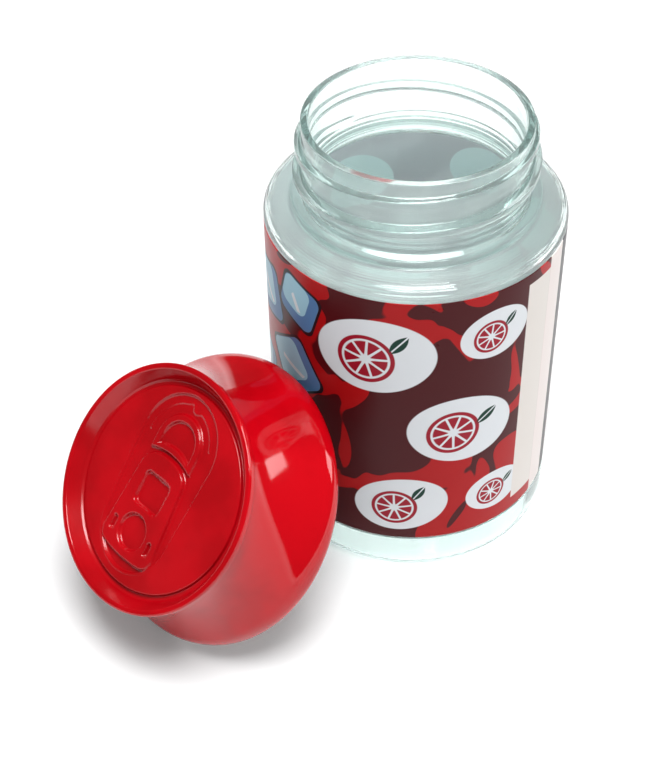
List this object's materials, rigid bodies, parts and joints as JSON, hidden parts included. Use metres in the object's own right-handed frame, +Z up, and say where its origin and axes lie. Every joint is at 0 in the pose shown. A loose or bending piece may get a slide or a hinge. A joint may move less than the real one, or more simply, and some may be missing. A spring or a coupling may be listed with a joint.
{
  "type": "can diversion safe",
  "caption": "Clear plastic jar in the shape of a drinks can with a printed wrap label, and its red screw cap moulded as a can top, leaning against it.",
  "frame": {"origin": "on the ground under the middle of the footprint of the jar and the leaning cap", "axes": "+Z up along the jar's axis, -Y towards the camera side of the picture, +X to the right of it"},
  "size_m": [0.1132, 0.1, 0.1042],
  "materials": {
    "clear_plastic": "clear, glossy, faint cool tint",
    "printed_film": "printed maroon film, satin",
    "red_plastic": "glossy red",
    "foam": "matt white foam"
  },
  "bodies": {
    "jar": {"jar_body": "clear_plastic", "wrap_label": "printed_film"},
    "liner": {"sealing_liner": "foam"},
    "cap": {"screw_cap": "red_plastic"}
  },
  "joints": [
    {"name": "cap_tip", "type": "hinge", "parent": "jar", "child": "liner", "pos_m": [-0.03733, -0.02799, 0.0026], "axis": [0.6184, -0.7859, 0], "range_deg": [0, 55.5]},
    {"name": "cap_turn", "type": "hinge", "parent": "liner", "child": "cap", "pos_m": [-0.02032, -0.0146, 0.02407], "axis": [-0.594, -0.4674, 0.6547], "continuous": true}
  ]
}
